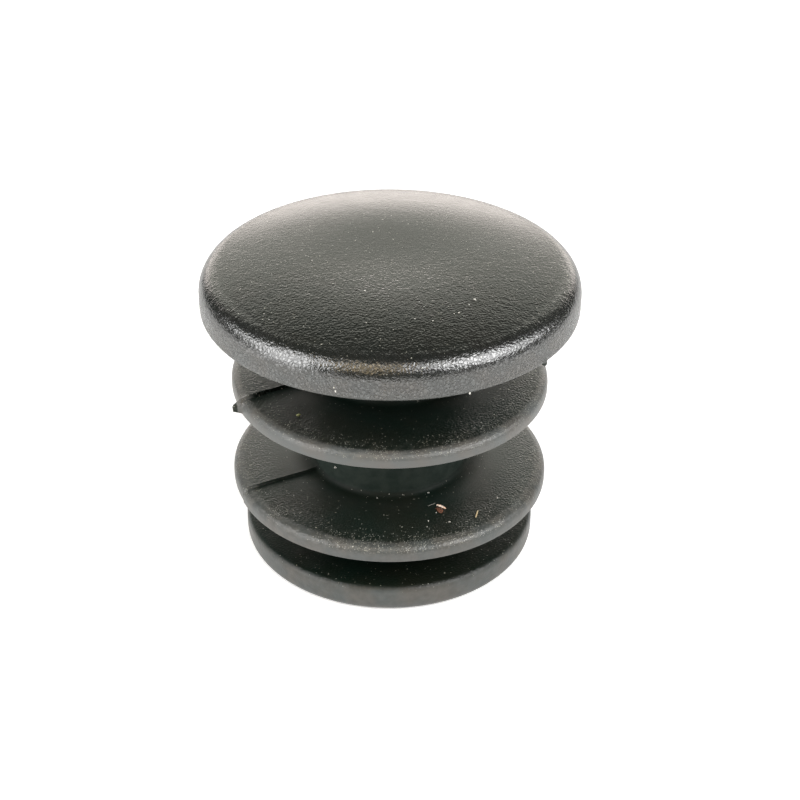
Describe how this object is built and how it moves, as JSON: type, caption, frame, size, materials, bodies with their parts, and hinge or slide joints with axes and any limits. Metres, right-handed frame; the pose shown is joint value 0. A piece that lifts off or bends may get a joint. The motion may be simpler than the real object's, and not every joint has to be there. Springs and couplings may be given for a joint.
{
  "type": "tube end cap",
  "caption": "Round black plastic cap for a tube's open end: low domed grained head, stem with thin flexible fins and a lead-in disc.",
  "frame": {"origin": "centre of the lead-in disc's bottom face, on which the cap stands", "axes": "+Z along the tube's axis towards the head, -Y towards the camera of the picture, +X to its right"},
  "size_m": [0.025, 0.025, 0.0214],
  "materials": {
    "black_plastic": "satin black polyethylene, grained on the head and smooth on the fins"
  },
  "bodies": {
    "root": {"tube_cap": "black_plastic"}
  },
  "joints": []
}
